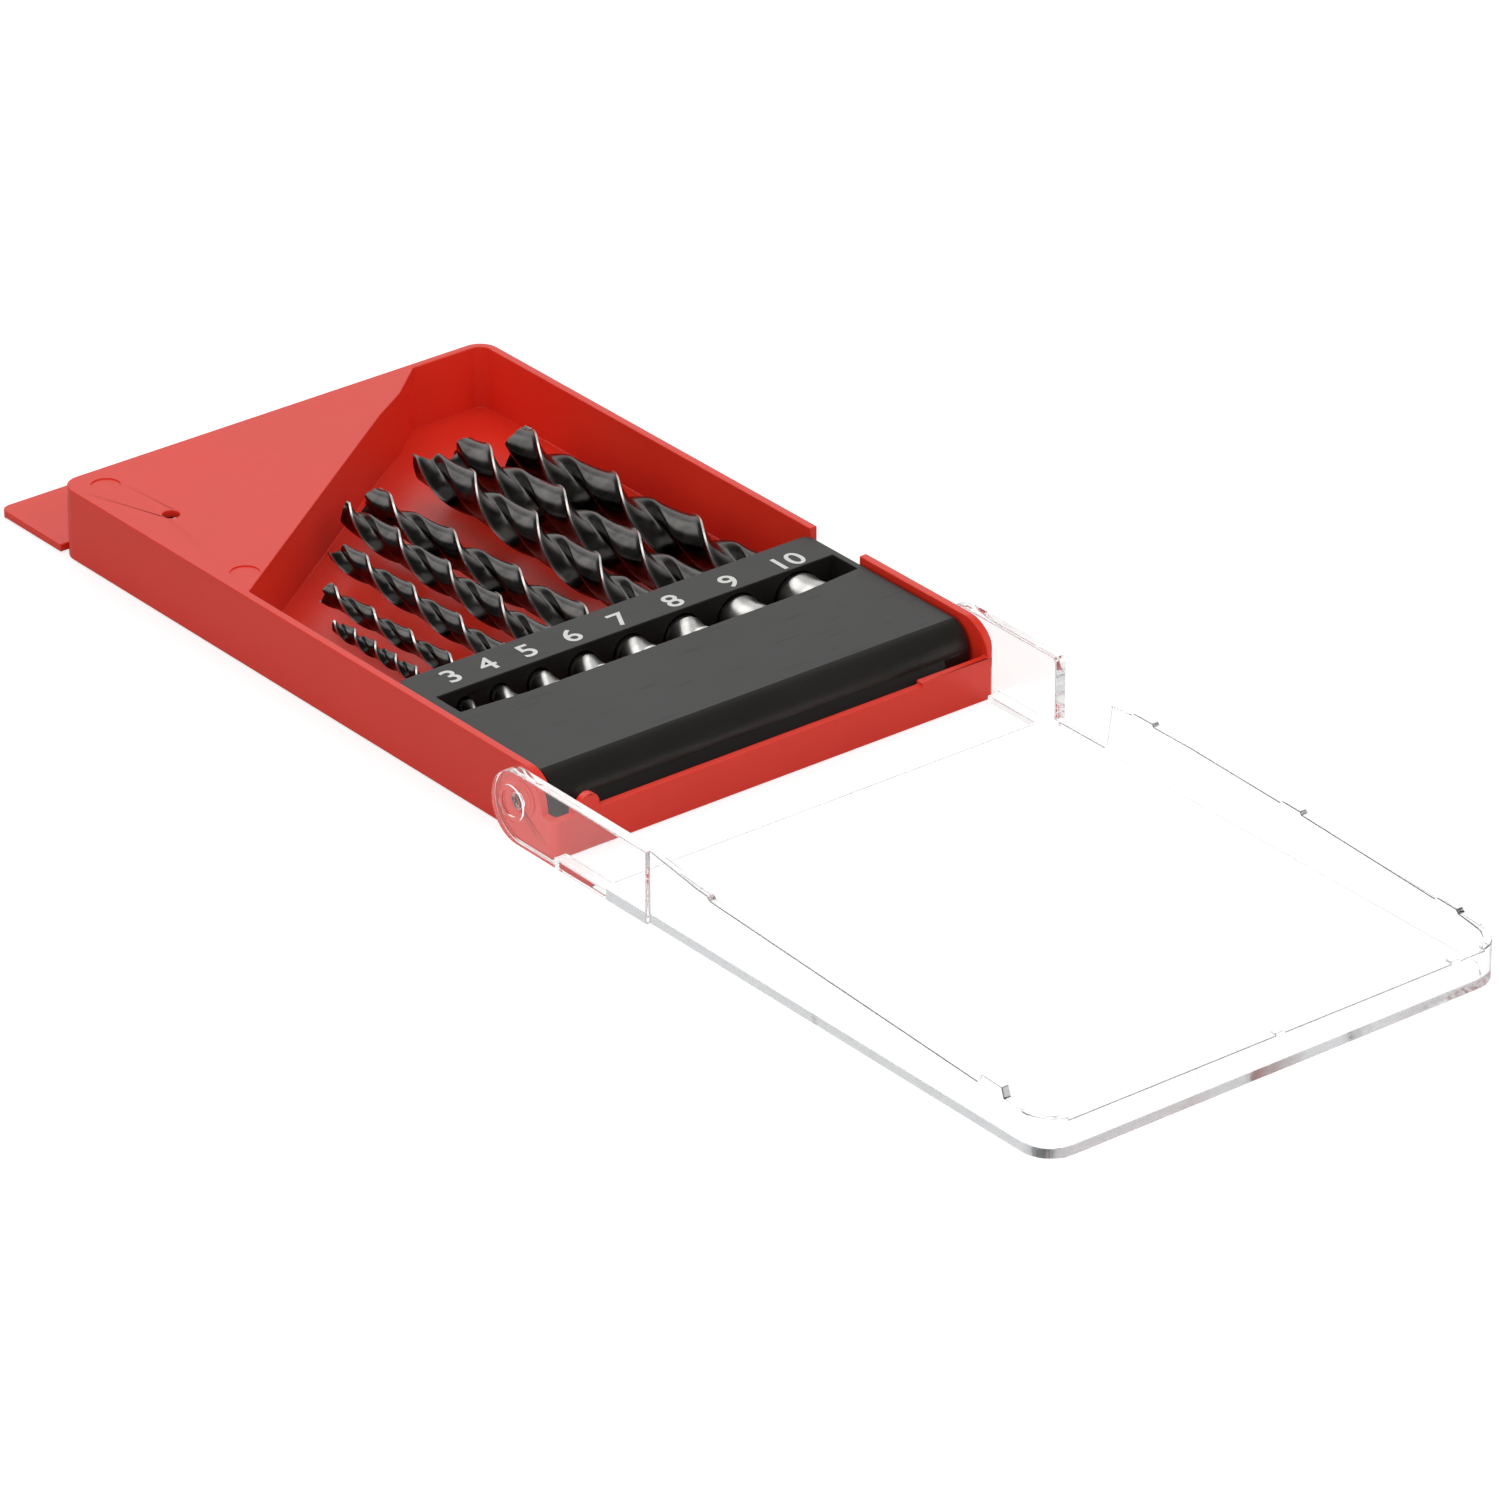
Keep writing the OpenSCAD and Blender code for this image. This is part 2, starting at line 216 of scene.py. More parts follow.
class SharedEffects:
    """Shader node groups that several finishes use, each built once."""

    _made: dict[str, bpy.types.NodeTree] = {}

    @classmethod
    def _start(
        cls,
        name: str,
        inputs: Sequence[tuple[str, str, float]],
        outputs: Sequence[tuple[str, str]],
    ) -> tuple[Graph, bpy.types.Node, bpy.types.Node]:
        """Starts a shader group.

        Args:
            name: The group's name.
            inputs: Name, socket type and default of each input.
            outputs: Name and socket type of each output.

        Returns:
            The graph, the group's input node and its output node.
        """
        tree = bpy.data.node_groups.new(name, "ShaderNodeTree")
        for label, kind, default in inputs:
            made = tree.interface.new_socket(label, in_out="INPUT", socket_type=kind)
            made.default_value = default
        for label, kind in outputs:
            tree.interface.new_socket(label, in_out="OUTPUT", socket_type=kind)
        graph = Graph(tree)
        cls._made[name] = tree
        return graph, graph.node("NodeGroupInput"), graph.node("NodeGroupOutput")

    @classmethod
    def moulded_skin(cls) -> bpy.types.NodeTree:
        """Fine spark-eroded texture, faint flow marks and hairline rubs.

        Returns:
            A group with Tone, Gloss and Height outputs around 0.5.
        """
        if "moulded_skin" in cls._made:
            return cls._made["moulded_skin"]
        graph, source, sink = cls._start(
            "moulded_skin",
            [
                ("Grain Scale", "NodeSocketFloat", 4000.0),
                ("Flow Scale", "NodeSocketFloat", 40.0),
                ("Rubs", "NodeSocketFloat", 0.3),
            ],
            [
                ("Tone", "NodeSocketFloat"),
                ("Gloss", "NodeSocketFloat"),
                ("Height", "NodeSocketFloat"),
            ],
        )
        place = graph.node("ShaderNodeTexCoord").outputs["Object"]
        grain = graph.noise(place, source.outputs["Grain Scale"], 2.0)
        flow = graph.noise(place, source.outputs["Flow Scale"], 4.0)
        turned = graph.node("ShaderNodeMapping")
        graph.feed(turned.inputs["Vector"], place)
        turned.inputs["Rotation"].default_value = (0.0, 0.0, 0.5)
        turned.inputs["Scale"].default_value = (1.0, 14.0, 1.0)
        streak = graph.noise(turned.outputs["Vector"], 90.0, 5.0)
        rubs = graph.math(
            "MULTIPLY",
            graph.span(streak, 0.60, 0.72, 0.0, 1.0),
            source.outputs["Rubs"],
        )
        graph.feed(sink.inputs["Tone"], flow)
        graph.feed(
            sink.inputs["Gloss"],
            graph.math("ADD", graph.math("MULTIPLY", flow, 0.6), rubs),
        )
        graph.feed(
            sink.inputs["Height"],
            graph.math("SUBTRACT", grain, graph.math("MULTIPLY", rubs, 0.25)),
        )
        return cls._made["moulded_skin"]

    @classmethod
    def handled_metal(cls) -> bpy.types.NodeTree:
        """Oil stain clouds and fine grinding lines round the bit's axis.

        Returns:
            A group with Cloud and Height outputs.
        """
        if "handled_metal" in cls._made:
            return cls._made["handled_metal"]
        graph, source, sink = cls._start(
            "handled_metal",
            [
                ("Cloud Scale", "NodeSocketFloat", 350.0),
                ("Line Scale", "NodeSocketFloat", 2500.0),
            ],
            [("Cloud", "NodeSocketFloat"), ("Height", "NodeSocketFloat")],
        )
        place = graph.node("ShaderNodeTexCoord").outputs["Object"]
        cloud = graph.noise(place, source.outputs["Cloud Scale"], 4.0)
        stretched = graph.node("ShaderNodeMapping")
        graph.feed(stretched.inputs["Vector"], place)
        stretched.inputs["Scale"].default_value = (0.05, 1.0, 0.05)
        lines = graph.noise(
            stretched.outputs["Vector"], source.outputs["Line Scale"], 2.0
        )
        graph.feed(sink.inputs["Cloud"], cloud)
        graph.feed(sink.inputs["Height"], lines)
        return cls._made["handled_metal"]


class Finish:
    """Base of every finish: a material built once from nodes."""

    name: str

    def material(self) -> bpy.types.Material:
        """Builds the material the first time it is asked for.

        Returns:
            The Blender material.
        """
        found = bpy.data.materials.get(self.name)
        if found is not None and found.get("finish_ready"):
            return found
        made = bpy.data.materials.new(self.name)
        made.use_nodes = True
        made["finish_ready"] = True
        graph = Graph(made.node_tree)
        shader = made.node_tree.nodes["Principled BSDF"]
        self.shade(graph, shader)
        return made

    def shade(self, graph: Graph, shader: bpy.types.Node) -> None:
        """Fills in the material's nodes."""
        raise NotImplementedError


def add_group(graph: Graph, tree: bpy.types.NodeTree, **values: float) -> bpy.types.Node:
    """Places a shared effect in a material.

    Args:
        graph: The material's graph.
        tree: The effect's node group.
        **values: Input values, with _ for spaces.

    Returns:
        The group node.
    """
    made = graph.node("ShaderNodeGroup", node_tree=tree)
    for label, value in values.items():
        made.inputs[label.replace("_", " ")].default_value = value
    return made


def add_bump(
    graph: Graph, shader: bpy.types.Node, height: object, strength: float, depth: float
) -> None:
    """Feeds a height into the shader's normal.

    Args:
        graph: The material's graph.
        shader: Principled shader.
        height: Height socket.
        strength: Bump strength.
        depth: Depth of the relief in metres.
    """
    bump = graph.node("ShaderNodeBump")
    bump.inputs["Strength"].default_value = strength
    bump.inputs["Distance"].default_value = depth
    graph.feed(bump.inputs["Height"], height)
    graph.feed(shader.inputs["Normal"], bump.outputs["Normal"])


@dataclass(frozen=True)
class MouldedPlastic(Finish):
    """Opaque injection-moulded plastic."""

    name: str
    colour: tuple[float, float, float, float]
    pale: tuple[float, float, float, float]
    rough_low: float
    rough_high: float
    grain: float
    rubs: float
    relief: float

    def shade(self, graph: Graph, shader: bpy.types.Node) -> None:
        """Colour with faint flow marks, satin gloss and a fine grain."""
        skin = add_group(
            graph, SharedEffects.moulded_skin(), Grain_Scale=self.grain, Rubs=self.rubs
        )
        tone = graph.span(skin.outputs["Tone"], 0.3, 0.75, 0.0, 1.0)
        graph.feed(
            shader.inputs["Base Color"],
            graph.blend_colour(tone, self.colour, self.pale),
        )
        graph.feed(
            shader.inputs["Roughness"],
            graph.span(
                skin.outputs["Gloss"], 0.2, 0.7, self.rough_low, self.rough_high
            ),
        )
        shader.inputs["IOR"].default_value = 1.5
        add_bump(graph, shader, skin.outputs["Height"], 0.25, self.relief)


@dataclass(frozen=True)
class ClearPlastic(Finish):
    """Clear moulded plastic that greys along long paths in its edges."""

    name: str
    tint: tuple[float, float, float, float]
    roughness: float
    density: float
    haze: float = 0.05
    index: float = 1.49
    relief: float = 0.04 * MM

    def shade(self, graph: Graph, shader: bpy.types.Node) -> None:
        """Refracting shell with a faint absorption inside."""
        skin = add_group(
            graph, SharedEffects.moulded_skin(), Grain_Scale=900.0, Rubs=0.25
        )
        shader.inputs["Base Color"].default_value = (1.0, 1.0, 1.0, 1.0)
        shader.inputs["Transmission Weight"].default_value = 1.0
        shader.inputs["IOR"].default_value = self.index
        graph.feed(
            shader.inputs["Roughness"],
            graph.span(
                skin.outputs["Gloss"],
                0.3,
                0.9,
                self.roughness,
                self.roughness + self.haze,
            ),
        )
        add_bump(graph, shader, skin.outputs["Height"], 0.05, self.relief)
        inside = graph.node("ShaderNodeVolumeAbsorption")
        inside.inputs["Color"].default_value = self.tint
        inside.inputs["Density"].default_value = self.density
        out = graph.tree.nodes["Material Output"]
        graph.feed(out.inputs["Volume"], inside.outputs["Volume"])


@dataclass(frozen=True)
class ToolSteel(Finish):
    """Blackened steel with ground shank and land edges.

    The mesh attribute ground is 1 where the steel was ground bright.
    """

    name: str
    black: tuple[float, float, float, float]
    bright: tuple[float, float, float, float]
    black_worn: float = 2.2
    bright_stained: float = 0.85
    rough_low: float = 0.14
    rough_high: float = 0.30
    ground_rougher: float = 0.12
    relief: float = 0.02 * MM

    def shade(self, graph: Graph, shader: bpy.types.Node) -> None:
        """Mixes the blackened and the ground surface by the mesh's mask."""
        metal = add_group(graph, SharedEffects.handled_metal())
        mask = graph.node("ShaderNodeAttribute", attribute_name="ground")
        cloud = graph.span(metal.outputs["Cloud"], 0.35, 0.7, 0.0, 1.0)
        dark = graph.blend_colour(
            cloud, self.black, scaled(self.black, self.black_worn)
        )
        lit = graph.blend_colour(
            cloud, self.bright, scaled(self.bright, self.bright_stained)
        )
        graph.feed(
            shader.inputs["Base Color"],
            graph.blend_colour(mask.outputs["Fac"], dark, lit),
        )
        shader.inputs["Metallic"].default_value = 1.0
        gloss = graph.span(
            metal.outputs["Cloud"], 0.3, 0.8, self.rough_low, self.rough_high
        )
        satin = graph.math("MULTIPLY", mask.outputs["Fac"], self.ground_rougher)
        graph.feed(shader.inputs["Roughness"], graph.math("ADD", gloss, satin))
        add_bump(graph, shader, metal.outputs["Height"], 0.15, self.relief)


@dataclass(frozen=True)
class PrintedPaint(Finish):
    """Thin printed paint of the size numbers."""

    name: str
    colour: tuple[float, float, float, float]

    def shade(self, graph: Graph, shader: bpy.types.Node) -> None:
        """White paint, a little thin in places."""
        skin = add_group(
            graph, SharedEffects.moulded_skin(), Grain_Scale=5000.0, Rubs=0.5
        )
        worn = graph.span(skin.outputs["Gloss"], 0.35, 0.9, 0.0, 0.35)
        thin = scaled(self.colour, 0.8)
        graph.feed(
            shader.inputs["Base Color"], graph.blend_colour(worn, self.colour, thin)
        )
        shader.inputs["Roughness"].default_value = 0.45


RED = MouldedPlastic(
    name="red_moulded",
    colour=linear(230, 50, 32),
    pale=linear(236, 56, 37),
    rough_low=0.30,
    rough_high=0.42,
    grain=2600.0,
    rubs=0.2,
    relief=0.02 * MM,
)
BLACK = MouldedPlastic(
    name="black_moulded",
    colour=linear(29, 27, 25),
    pale=linear(35, 33, 31),
    rough_low=0.36,
    rough_high=0.48,
    grain=3200.0,
    rubs=0.35,
    relief=0.03 * MM,
)
CLEAR = ClearPlastic(
    name="clear_moulded", tint=(0.55, 0.57, 0.58, 1.0), roughness=0.02, density=7.0
)
STEEL = ToolSteel(
    name="blackened_steel",
    black=(0.042, 0.040, 0.038, 1.0),
    bright=(0.60, 0.59, 0.57, 1.0),
)
WHITE_PAINT = PrintedPaint(name="white_print", colour=linear(226, 226, 222))


class RecordSlot(Enum):
    """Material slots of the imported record."""

    TRAY = "red_plastic"
    LID = "clear_plastic"
    HOLDER = "black_plastic"
    BIT = "black_steel"


# ------------------------------------------------------- shared making


def new_object(name: str, mesh: bpy.types.Mesh) -> bpy.types.Object:
    """Puts a mesh into the scene as an object at the origin.

    Args:
        name: The piece's name.
        mesh: Its mesh, already in place.

    Returns:
        The new object.
    """
    made = bpy.data.objects.new(name, mesh)
    bpy.context.scene.collection.objects.link(made)
    return made


def soften(mesh: bpy.types.Mesh, angle: float) -> None:
    """Shades a mesh smooth except across edges sharper than the angle.

    Args:
        mesh: Mesh to shade.
        angle: Sharp edge angle in degrees.
    """
    mesh.shade_smooth()
    mesh.set_sharp_from_angle(angle=math.radians(angle))


def baked(source: bpy.types.Object, name: str) -> bpy.types.Object:
    """Turns an object with modifiers into a plain mesh object.

    Args:
        source: Object with live modifiers; it is removed.
        name: Name of the finished piece.

    Returns:
        The plain object.
    """
    bpy.context.view_layer.update()
    graph = bpy.context.evaluated_depsgraph_get()
    mesh = bpy.data.meshes.new_from_object(
        source.evaluated_get(graph), preserve_all_data_layers=True, depsgraph=graph
    )
    old = source.data
    bpy.data.objects.remove(source)
    if isinstance(old, bpy.types.Mesh) and old.users == 0:
        bpy.data.meshes.remove(old)
    mesh.name = name
    return new_object(name, mesh)


@dataclass
class MouldedShell:
    """A moulded piece: the CAD node's form with softly rounded edges.

    Edges that turn by more than sharp degrees are rounded, where the faces
    beside them are more than room times the rounding wide. Between faces of
    more than wide square millimetres, a turn above crease stays crisp.
    """

    node: str
    piece: str
    finish: Finish
    slot: RecordSlot
    edge: float
    segments: int = 3
    sharp: float = 32.0
    crease: float = 32.0
    room: float = 2.5
    wide: float = 3.0
    level: float = 0.5
    casts_shadow: bool = True

    def merged_copy(self) -> bpy.types.Mesh:
        """Copies the CAD node's mesh with its flat faces made whole.

        Returns:
            The merged mesh.
        """
        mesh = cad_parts[self.node].data.copy()
        mesh.materials.clear()
        work = bmesh.new()
        work.from_mesh(mesh)
        bmesh.ops.remove_doubles(work, verts=work.verts, dist=WELD)
        bmesh.ops.dissolve_limit(
            work,
            angle_limit=math.radians(0.6),
            verts=work.verts,
            edges=work.edges,
        )
        self.weigh_edges(work)
        bmesh.ops.triangulate(work, faces=[f for f in work.faces if len(f.verts) > 4])
        work.to_mesh(mesh)
        work.free()
        mesh.shade_smooth()
        return mesh

    def weigh_edges(self, work: bmesh.types.BMesh) -> None:
        """Marks the sharp edges that have room on both sides for rounding.

        Args:
            work: The piece's mesh, with its flat faces whole.
        """
        weight = work.edges.layers.float.new("bevel_weight_edge")
        for edge in work.edges:
            if len(edge.link_faces) != 2 or edge.calc_length() < WELD:
                continue
            width = min(f.calc_area() for f in edge.link_faces) / edge.calc_length()
            turns = edge.calc_face_angle() > math.radians(self.sharp)
            if turns and width > self.room * self.edge:
                edge[weight] = 1.0

    def face_extents(self, work: bmesh.types.BMesh) -> list[float]:
        """Measures the flat region that each face belongs to.

        Args:
            work: The finished piece's mesh.

        Returns:
            Area of the whole flat region, in square millimetres, by face.
        """
        extents = [0.0] * len(work.faces)
        seen: set[int] = set()
        same_plane = math.cos(math.radians(self.level))
        for seed in work.faces:
            if seed.index in seen:
                continue
            seen.add(seed.index)
            region = [seed]
            for face in region:
                for edge in face.edges:
                    for other in edge.link_faces:
                        flush = seed.normal.dot(other.normal) > same_plane
                        if flush and other.index not in seen:
                            seen.add(other.index)
                            region.append(other)
            total = sum(face.calc_area() for face in region) / MM**2
            for face in region:
                extents[face.index] = total
        return extents

    def keep_faces_flat(self, mesh: bpy.types.Mesh) -> None:
        """Shades wide faces flat and lets only the rounded edges turn.

        Args:
            mesh: The finished piece's mesh.
        """
        work = bmesh.new()
        work.from_mesh(mesh)
        bmesh.ops.dissolve_degenerate(work, dist=2 * WELD, edges=work.edges)
        work.normal_update()
        work.faces.index_update()
        work.to_mesh(mesh)
        work.faces.ensure_lookup_table()
        extents = self.face_extents(work)
        narrow_turn = math.cos(math.radians(self.sharp))
        wide_turn = math.cos(math.radians(self.crease))
        normals: list[Vector] = []
        for face in work.faces:
            for loop in face.loops:
                total = Vector()
                for other in loop.vert.link_faces:
                    smaller = min(extents[face.index], extents[other.index])
                    limit = wide_turn if smaller > self.wide else narrow_turn
                    if face.normal.dot(other.normal) > limit:
                        total += other.normal * extents[other.index] ** 2
                normals.append(total.normalized())
        work.free()
        mesh.normals_split_custom_set(normals)

    def build(self) -> bpy.types.Object:
        """Builds the piece, rounds its edges and hides the CAD node.

        Returns:
            The finished piece, riding on its body.
        """
        rough = new_object(self.piece + "_work", self.merged_copy())
        bevel = rough.modifiers.new("edge", "BEVEL")
        bevel.width = self.edge
        bevel.segments = self.segments
        bevel.limit_method = "WEIGHT"
        bevel.use_clamp_overlap = False
        done = baked(rough, self.piece)
        self.keep_faces_flat(done.data)
        done.data.materials.clear()
        done.data.materials.append(self.finish.material())
        done.visible_shadow = self.casts_shadow
        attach(done, self.node)
        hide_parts(self.node)
        return done


# ---------------------------------------------------------------- bits


@dataclass(frozen=True)
class HolderLayout:
    """Where the sockets lie in the bit holder, as in the CAD."""

    half_width: float = 48.5 * MM
    half_length: float = 75.0 * MM
    first_x: float = 10.4 * MM
    last_x: float = 12.05 * MM
    level: float = 10.8 * MM
    pivot_y: float = 38.0 * MM
    seat_y: float = 17.7 * MM
    sizes: tuple[int, ...] = (3, 4, 5, 6, 7, 8, 9, 10)

    @property
    def web(self) -> float:
        """Web left between neighbouring bits."""
        taken = sum(self.sizes) - (self.sizes[0] + self.sizes[-1]) / 2
        ends = self.first_x + self.last_x
        return (2 * self.half_width - ends - taken * MM) / (len(self.sizes) - 1)

    def socket_x(self, index: int) -> float:
        """X of a socket's centre in the case's frame.

        Args:
            index: 0 for the smallest bit.

        Returns:
            X in metres.
        """
        x = self.first_x
        for i in range(index):
            x += (self.sizes[i] + self.sizes[i + 1]) / 2 * MM + self.web
        return x - self.half_width

    def socket_z(self, index: int) -> float:
        """Height of a socket's axis.

        Args:
            index: 0 for the smallest bit.

        Returns:
            Z in metres.
        """
        return self.level - 0.35 * self.sizes[index] * MM


LAYOUT = HolderLayout()


class FluteTree:
    """Geometry nodes that twist a plain ring grid into a fluted bit.

    The grid's points carry around (angle), height (along the axis), rim
    (section radius, 0 to 1), reach (0 at the axis, 1 at the outside) and
    lift (extra height of the tip's spurs and centre point).
    """

    INPUTS: tuple[tuple[str, float], ...] = (
        ("Diameter", 0.008),
        ("Lead", 0.039),
        ("Shank Length", 0.0265),
        ("Run Out", 0.004),
        ("Phase", 0.0),
    )
    _tree: bpy.types.NodeTree | None = None

    @classmethod
    def tree(cls) -> bpy.types.NodeTree:
        """Builds the tree once.

        Returns:
            The geometry node tree.
        """
        if cls._tree is not None:
            return cls._tree
        tree = bpy.data.node_groups.new("fluted_bit", "GeometryNodeTree")
        face = tree.interface
        face.new_socket("Geometry", in_out="INPUT", socket_type="NodeSocketGeometry")
        for label, default in cls.INPUTS:
            made = face.new_socket(label, in_out="INPUT", socket_type="NodeSocketFloat")
            made.default_value = default
        face.new_socket("Material", in_out="INPUT", socket_type="NodeSocketMaterial")
        face.new_socket("Geometry", in_out="OUTPUT", socket_type="NodeSocketGeometry")
        graph = Graph(tree)
        given = graph.node("NodeGroupInput")

        def read(label: str) -> bpy.types.NodeSocket:
            """Reads a float attribute of the grid."""
            made = graph.node("GeometryNodeInputNamedAttribute", data_type="FLOAT")
            made.inputs["Name"].default_value = label
            return made.outputs["Attribute"]

        height = read("height")
        past = graph.math("SUBTRACT", height, given.outputs["Shank Length"])
        depth = graph.node("ShaderNodeMapRange", interpolation_type="SMOOTHSTEP")
        graph.feed(depth.inputs["Value"], past)
        depth.inputs["From Min"].default_value = 0.0
        graph.feed(depth.inputs["From Max"], given.outputs["Run Out"])
        carve = graph.math("SUBTRACT", 1.0, read("rim"))
        cut = graph.math("MULTIPLY", carve, depth.outputs["Result"])
        radius = graph.math(
            "MULTIPLY",
            graph.math("MULTIPLY", given.outputs["Diameter"], 0.5),
            graph.math("MULTIPLY", graph.math("SUBTRACT", 1.0, cut), read("reach")),
        )
        turn = graph.math(
            "MULTIPLY", graph.math("DIVIDE", past, given.outputs["Lead"]), math.tau
        )
        angle = graph.math(
            "ADD", graph.math("ADD", read("around"), given.outputs["Phase"]), turn
        )
        place = graph.node("ShaderNodeCombineXYZ")
        graph.feed(
            place.inputs["X"], graph.math("MULTIPLY", radius, graph.math("COSINE", angle))
        )
        graph.feed(
            place.inputs["Y"], graph.math("MULTIPLY", radius, graph.math("SINE", angle))
        )
        graph.feed(place.inputs["Z"], graph.math("ADD", height, read("lift")))
        moved = graph.node("GeometryNodeSetPosition")
        graph.feed(moved.inputs["Geometry"], given.outputs["Geometry"])
        graph.feed(moved.inputs["Position"], place.outputs["Vector"])
        real = graph.node("GeometryNodeRealizeInstances")
        graph.feed(real.inputs["Geometry"], moved.outputs["Geometry"])
        dressed = graph.node("GeometryNodeSetMaterial")
        graph.feed(dressed.inputs["Geometry"], real.outputs["Geometry"])
        graph.feed(dressed.inputs["Material"], given.outputs["Material"])
        sink = graph.node("NodeGroupOutput")
        graph.feed(sink.inputs["Geometry"], dressed.outputs["Geometry"])
        cls._tree = tree
        return tree


@dataclass
class BradBit:
    """One brad-point bit, lying loosely in its socket."""

    index: int
    length: float
    lean: float
    pitch: float
    phase: float
    lead_ratio: float
    shank: float = 26.5 * MM
    margin: float = 0.42 * MM
    # Shares of the diameter: root of the centre point, its height, the
    # spurs' height and the length over which the flutes run out.
    core: float = 0.3
    point: float = 0.24
    spur: float = 0.17
    run_out: float = 0.6
    # Gap between the shank's end and the socket's floor.
    seat_gap: float = 0.3 * MM
    leading: float = 16.0
    heel: float = -81.0
    # The flute from the leading edge to the next heel: degrees past the
    # leading edge, radius (1 at the outside).
    flute: tuple[tuple[float, float], ...] = (
        (0.8, 0.98),
        (4.0, 0.86),
        (10.0, 0.70),
        (18.0, 0.56),
        (28.0, 0.45),
        (39.0, 0.37),
        (49.0, 0.34),
        (59.0, 0.365),
        (67.0, 0.44),
        (73.0, 0.54),
        (78.0, 0.65),
        (81.0, 0.71),
    )

    @property
    def yaw(self) -> float:
        """Turn of the loosely held bit to the right, in degrees."""
        reach = LAYOUT.seat_y + self.length - LAYOUT.pivot_y
        return math.degrees(math.atan(self.lean * LAYOUT.web / reach))

    @property
    def size(self) -> int:
        """Nominal size in millimetres."""
        return LAYOUT.sizes[self.index]

    @property
    def diameter(self) -> float:
        """Shank diameter in metres."""
        return self.size * MM

    def half_section(self) -> list[tuple[float, float, float, float]]:
        """Lists half a cross-section: relieved land, margin and flute.

        Returns:
            Angle in degrees, radius (1 at the outside), how bright the
            steel is ground, and how far the spur rises there.
        """
        start = self.leading - math.degrees(2 * self.margin / self.diameter)
        rows = [(self.heel, 0.735, 0.0, 0.0), (self.heel + 3.0, 0.768, 0.0, 0.0)]
        first, last = self.heel + 8.0, start - 2.5
        for k in range(8):
            share = k / 7
            angle = first + share * (last - first)
            spur = max(0.0, 1.0 - (start - angle) / 50.0) * 0.9
            rows.append((angle, 0.785 + 0.15 * share**3, 0.0, spur))
        rows.append((start - 0.6, 0.985, 0.6, 1.0))
        for k in range(3):
            rows.append((start + (self.leading - start) * k / 2, 1.0, 1.0, 1.0))
        for past, radius in self.flute:
            shine = max(0.0, 0.5 - past / 6)
            rows.append((self.leading + past, radius, shine, 0.0))
        return rows

    def rings(self) -> list[tuple[float, float, float, float]]:
        """Lists the rings from the shank's end to the tip.

        Returns:
            Height, reach, share of the fluted section (0 on the round
            centre point) and lift in diameters of each ring.
        """
        d = self.diameter
        body = self.length - self.point * d
        lead = self.lead_ratio * d
        chamfer = 0.04 * d
        rows = [(0.0, 0.0, 1.0, 0.0), (0.0, 0.5, 1.0, 0.0), (0.0, 0.9, 1.0, 0.0)]
        rows += [(chamfer * 0.25, 0.97, 1.0, 0.0), (chamfer, 1.0, 1.0, 0.0)]
        rows += [(self.shank * k / 6, 1.0, 1.0, 0.0) for k in range(1, 7)]
        step = lead / 44
        count = max(2, round((body - self.shank) / step))
        rows += [
            (self.shank + (body - self.shank) * k / count, 1.0, 1.0, 0.0)
            for k in range(1, count + 1)
        ]
        # spurs at the outside, then a flat end with a round centre point
        rows += [(body, 0.985, 1.0, self.spur), (body, 0.93, 1.0, self.spur - 0.01)]
        rows += [(body, 1.0, share, 0.0) for share in (0.75, 0.5, 0.2, 0.0)]
        rows += [
            (body, reach, 0.0, rise * self.point)
            for reach, rise in ((0.92, 0.2), (0.6, 0.65), (0.25, 0.92), (0.0, 1.0))
        ]
        return rows

    def grid(self) -> bpy.types.Mesh:
        """Builds the plain ring grid with the attributes the tree reads.

        Returns:
            A closed grid mesh.
        """
        half = self.half_section()
        columns = half + [(a + 180.0, r, g, spur) for a, r, g, spur in half]
        rows = self.rings()
        points: list[tuple[float, ...]] = []
        index: list[list[int]] = []
        for height, reach, share, lift in rows:
            row: list[int] = []
            for angle, radius, ground, spur in columns:
                rim = share * radius + (1.0 - share) * self.core
                tooth = share == 1.0 and lift > 0.0
                width = 1.0 - (1.0 - reach) * spur if tooth else reach
                rise = lift * self.diameter * (spur if tooth else 1.0)
                dull = 0.1 if share < 1.0 or tooth else ground
                row.append(len(points))
                points.append((math.radians(angle), height, rim, width, rise, dull))
                if reach == 0.0:
                    break
            index.append(row)
        faces: list[tuple[int, ...]] = []
        count = len(columns)
        for low, high in zip(index, index[1:]):
            for k in range(count):
                n = (k + 1) % count
                if len(low) == 1:
                    faces.append((low[0], high[n], high[k]))
                elif len(high) == 1:
                    faces.append((low[k], low[n], high[0]))
                else:
                    faces.append((low[k], low[n], high[n], high[k]))
        mesh = bpy.data.meshes.new(f"bit_{self.size}mm_grid")
        mesh.from_pydata([(p[3], p[0], p[1]) for p in points], [], faces)
        for place, label in enumerate(("around", "height", "rim", "reach", "lift")):
            layer = mesh.attributes.new(label, "FLOAT", "POINT")
            layer.data.foreach_set("value", [p[place] for p in points])
        mask = mesh.attributes.new("ground", "FLOAT", "POINT")
        mask.data.foreach_set("value", [self.brightness(p[1], p[5]) for p in points])
        return mesh

    def brightness(self, height: float, ground: float) -> float:
        """How bright the steel is at a point: the whole shank is ground.

        Args:
            height: Height of the point over the shank's end.
            ground: How bright the fluted part is there.

        Returns:
            0 for blackened steel, 1 for ground steel.
        """
        return 1.0 if height < self.shank - 1.0 * MM else ground

